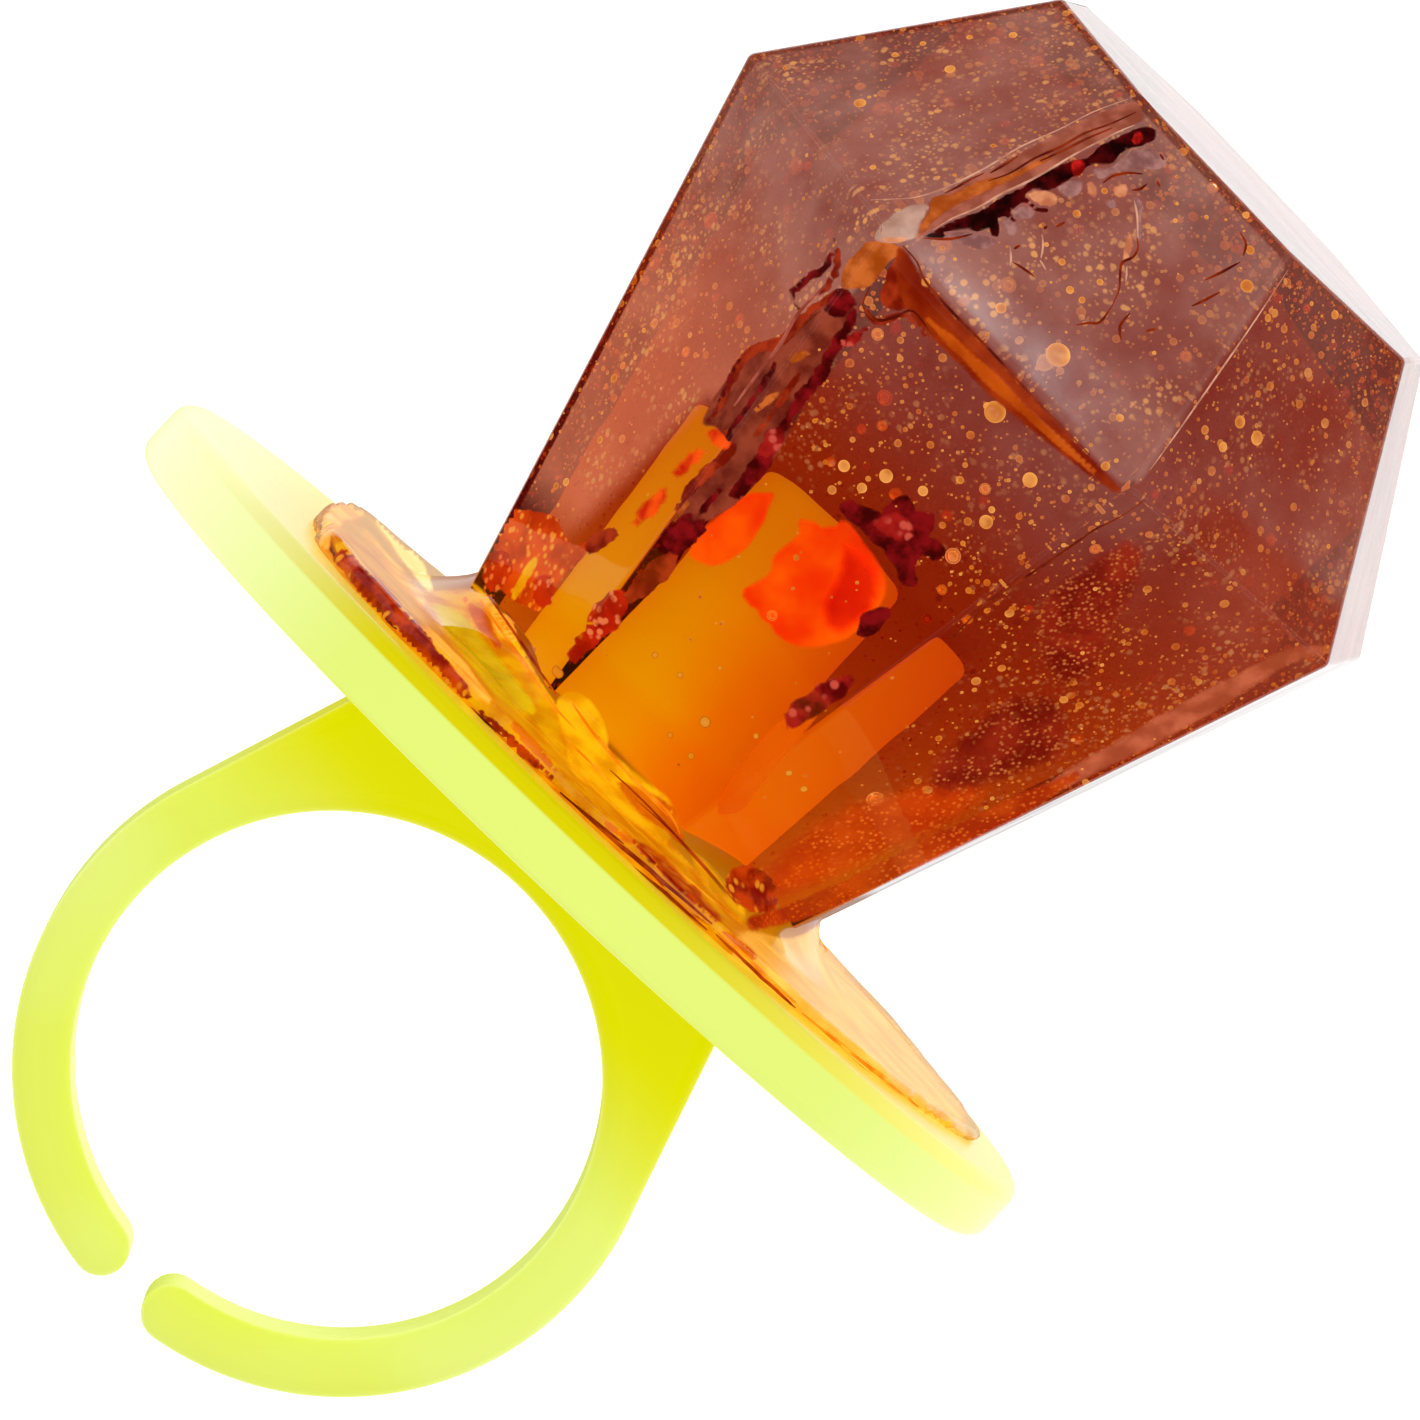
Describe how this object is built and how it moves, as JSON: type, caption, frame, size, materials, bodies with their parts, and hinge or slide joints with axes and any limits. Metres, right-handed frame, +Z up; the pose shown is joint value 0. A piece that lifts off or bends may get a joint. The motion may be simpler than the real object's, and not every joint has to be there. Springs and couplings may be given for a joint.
{
  "type": "ring lollipop",
  "caption": "Amber boiled-sugar sweet cast as a cut gem on a neon yellow-green plastic finger ring with a round guard, lying on its side.",
  "frame": {"origin": "centre of the bounding box at the level of the floor it lies on", "axes": "+X from the finger ring to the gem, along the length; +Y across the guard; +Z up, with the pictured side up"},
  "size_m": [0.0532, 0.038, 0.0366],
  "materials": {
    "neon_plastic": "translucent neon yellow-green moulded plastic, soft gloss",
    "amber_candy": "clear amber to dark red boiled sugar with air bubbles, glossy"
  },
  "bodies": {
    "root": {"holder": "neon_plastic", "candy": "amber_candy"}
  },
  "joints": []
}
